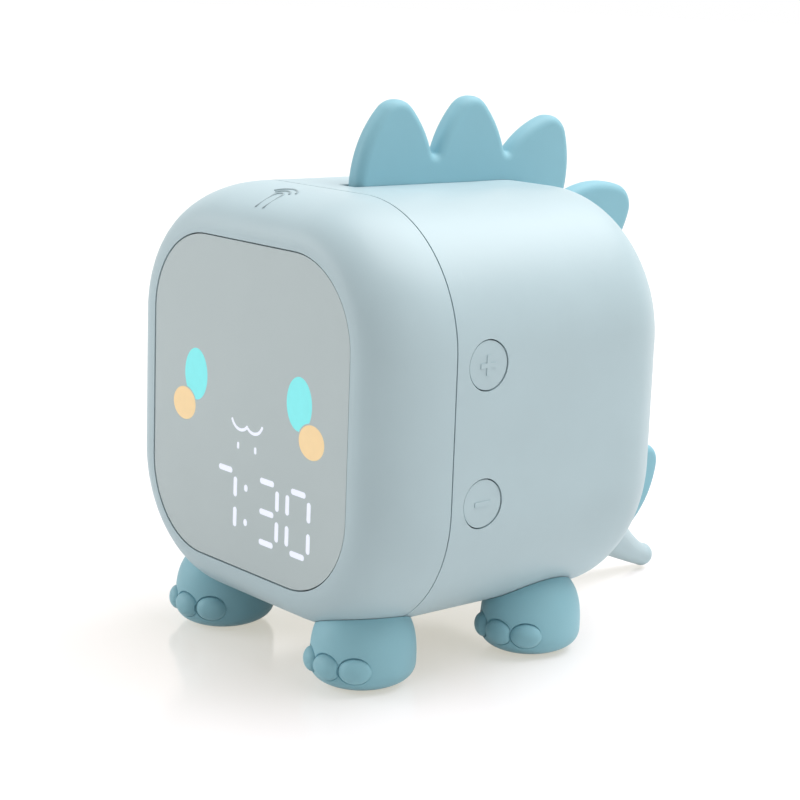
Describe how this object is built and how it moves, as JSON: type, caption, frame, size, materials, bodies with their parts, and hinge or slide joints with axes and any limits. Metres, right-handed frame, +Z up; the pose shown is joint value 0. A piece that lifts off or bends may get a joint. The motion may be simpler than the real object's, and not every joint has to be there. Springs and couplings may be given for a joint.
{
  "type": "digital alarm clock",
  "caption": "Rounded cube alarm clock shaped as a small dinosaur, with a lit face behind a tinted window, soft crest, stub tail, toed feet and push keys.",
  "frame": {"origin": "on the table under the middle of the overall box", "axes": "+Z up, the lit face looks along -Y, the side keys are on +X"},
  "size_m": [0.0902, 0.128, 0.1197],
  "materials": {
    "shell": "pale dusty blue, satin moulded",
    "window": "pale blue-grey tint, smooth satin",
    "crest": "teal silicone, soft matt",
    "foot": "teal silicone, soft matt",
    "eye_light": "turquoise light diffuser",
    "cheek_light": "peach light diffuser",
    "white_light": "white light diffuser",
    "mask": "black, moulded",
    "board": "green circuit board",
    "light_chip": "small lamp with a yellow top",
    "switch_case": "black, moulded",
    "plunger": "white, moulded",
    "steel": "zinc plated",
    "magnet": "dark ferrite",
    "connector": "natural nylon",
    "ribbon": "grey flat cable",
    "cell": "wrapped cell",
    "foam": "black foam",
    "foil": "copper foil",
    "wire": "insulated wire"
  },
  "bodies": {
    "housing": {"front_shell": "shell", "rear_shell": "shell", "tail": "shell", "screw_plugs": "shell", "display_window": "window", "crest": "crest", "back_crest": "crest", "tail_crest": "crest", "front_right_foot": "foot", "front_left_foot": "foot", "rear_right_foot": "foot", "rear_left_foot": "foot", "eye_lenses": "eye_light", "cheek_lenses": "cheek_light", "mouth_lens": "white_light", "time_lenses": "white_light", "light_mask": "mask", "display_board": "board", "power_board": "board", "key_board": "board", "display_lights": "light_chip", "key_switches": "switch_case", "control_chip": "switch_case", "speaker_cone": "switch_case", "board_screws": "steel", "shell_screws": "steel", "tail_screws": "steel", "foot_screws": "steel", "speaker_screws": "steel", "charge_socket": "steel", "speaker_frame": "steel", "speaker_magnet": "magnet", "link_sockets": "connector", "display_ribbon": "ribbon", "battery": "cell", "battery_pad": "foam", "speaker_gasket": "foam", "touch_foil": "foil", "battery_leads": "wire", "speaker_leads": "wire", "key_leads": "wire"},
    "plus_button": {"plus_key": "shell", "plus_plunger": "plunger"},
    "minus_button": {"minus_key": "shell", "minus_plunger": "plunger"},
    "set_button": {"set_key": "shell", "set_plunger": "plunger"}
  },
  "joints": [
    {"name": "plus_press", "type": "slide", "parent": "housing", "child": "plus_button", "axis": [-1, 0, 0], "range_m": [0, 0.0006], "stiffness_N_per_m": 1000, "springref_m": -0.0005},
    {"name": "minus_press", "type": "slide", "parent": "housing", "child": "minus_button", "axis": [-1, 0, 0], "range_m": [0, 0.0006], "stiffness_N_per_m": 1000, "springref_m": -0.0005},
    {"name": "set_press", "type": "slide", "parent": "housing", "child": "set_button", "axis": [0, -1, 0], "range_m": [0, 0.0006], "stiffness_N_per_m": 1000, "springref_m": -0.0005}
  ]
}
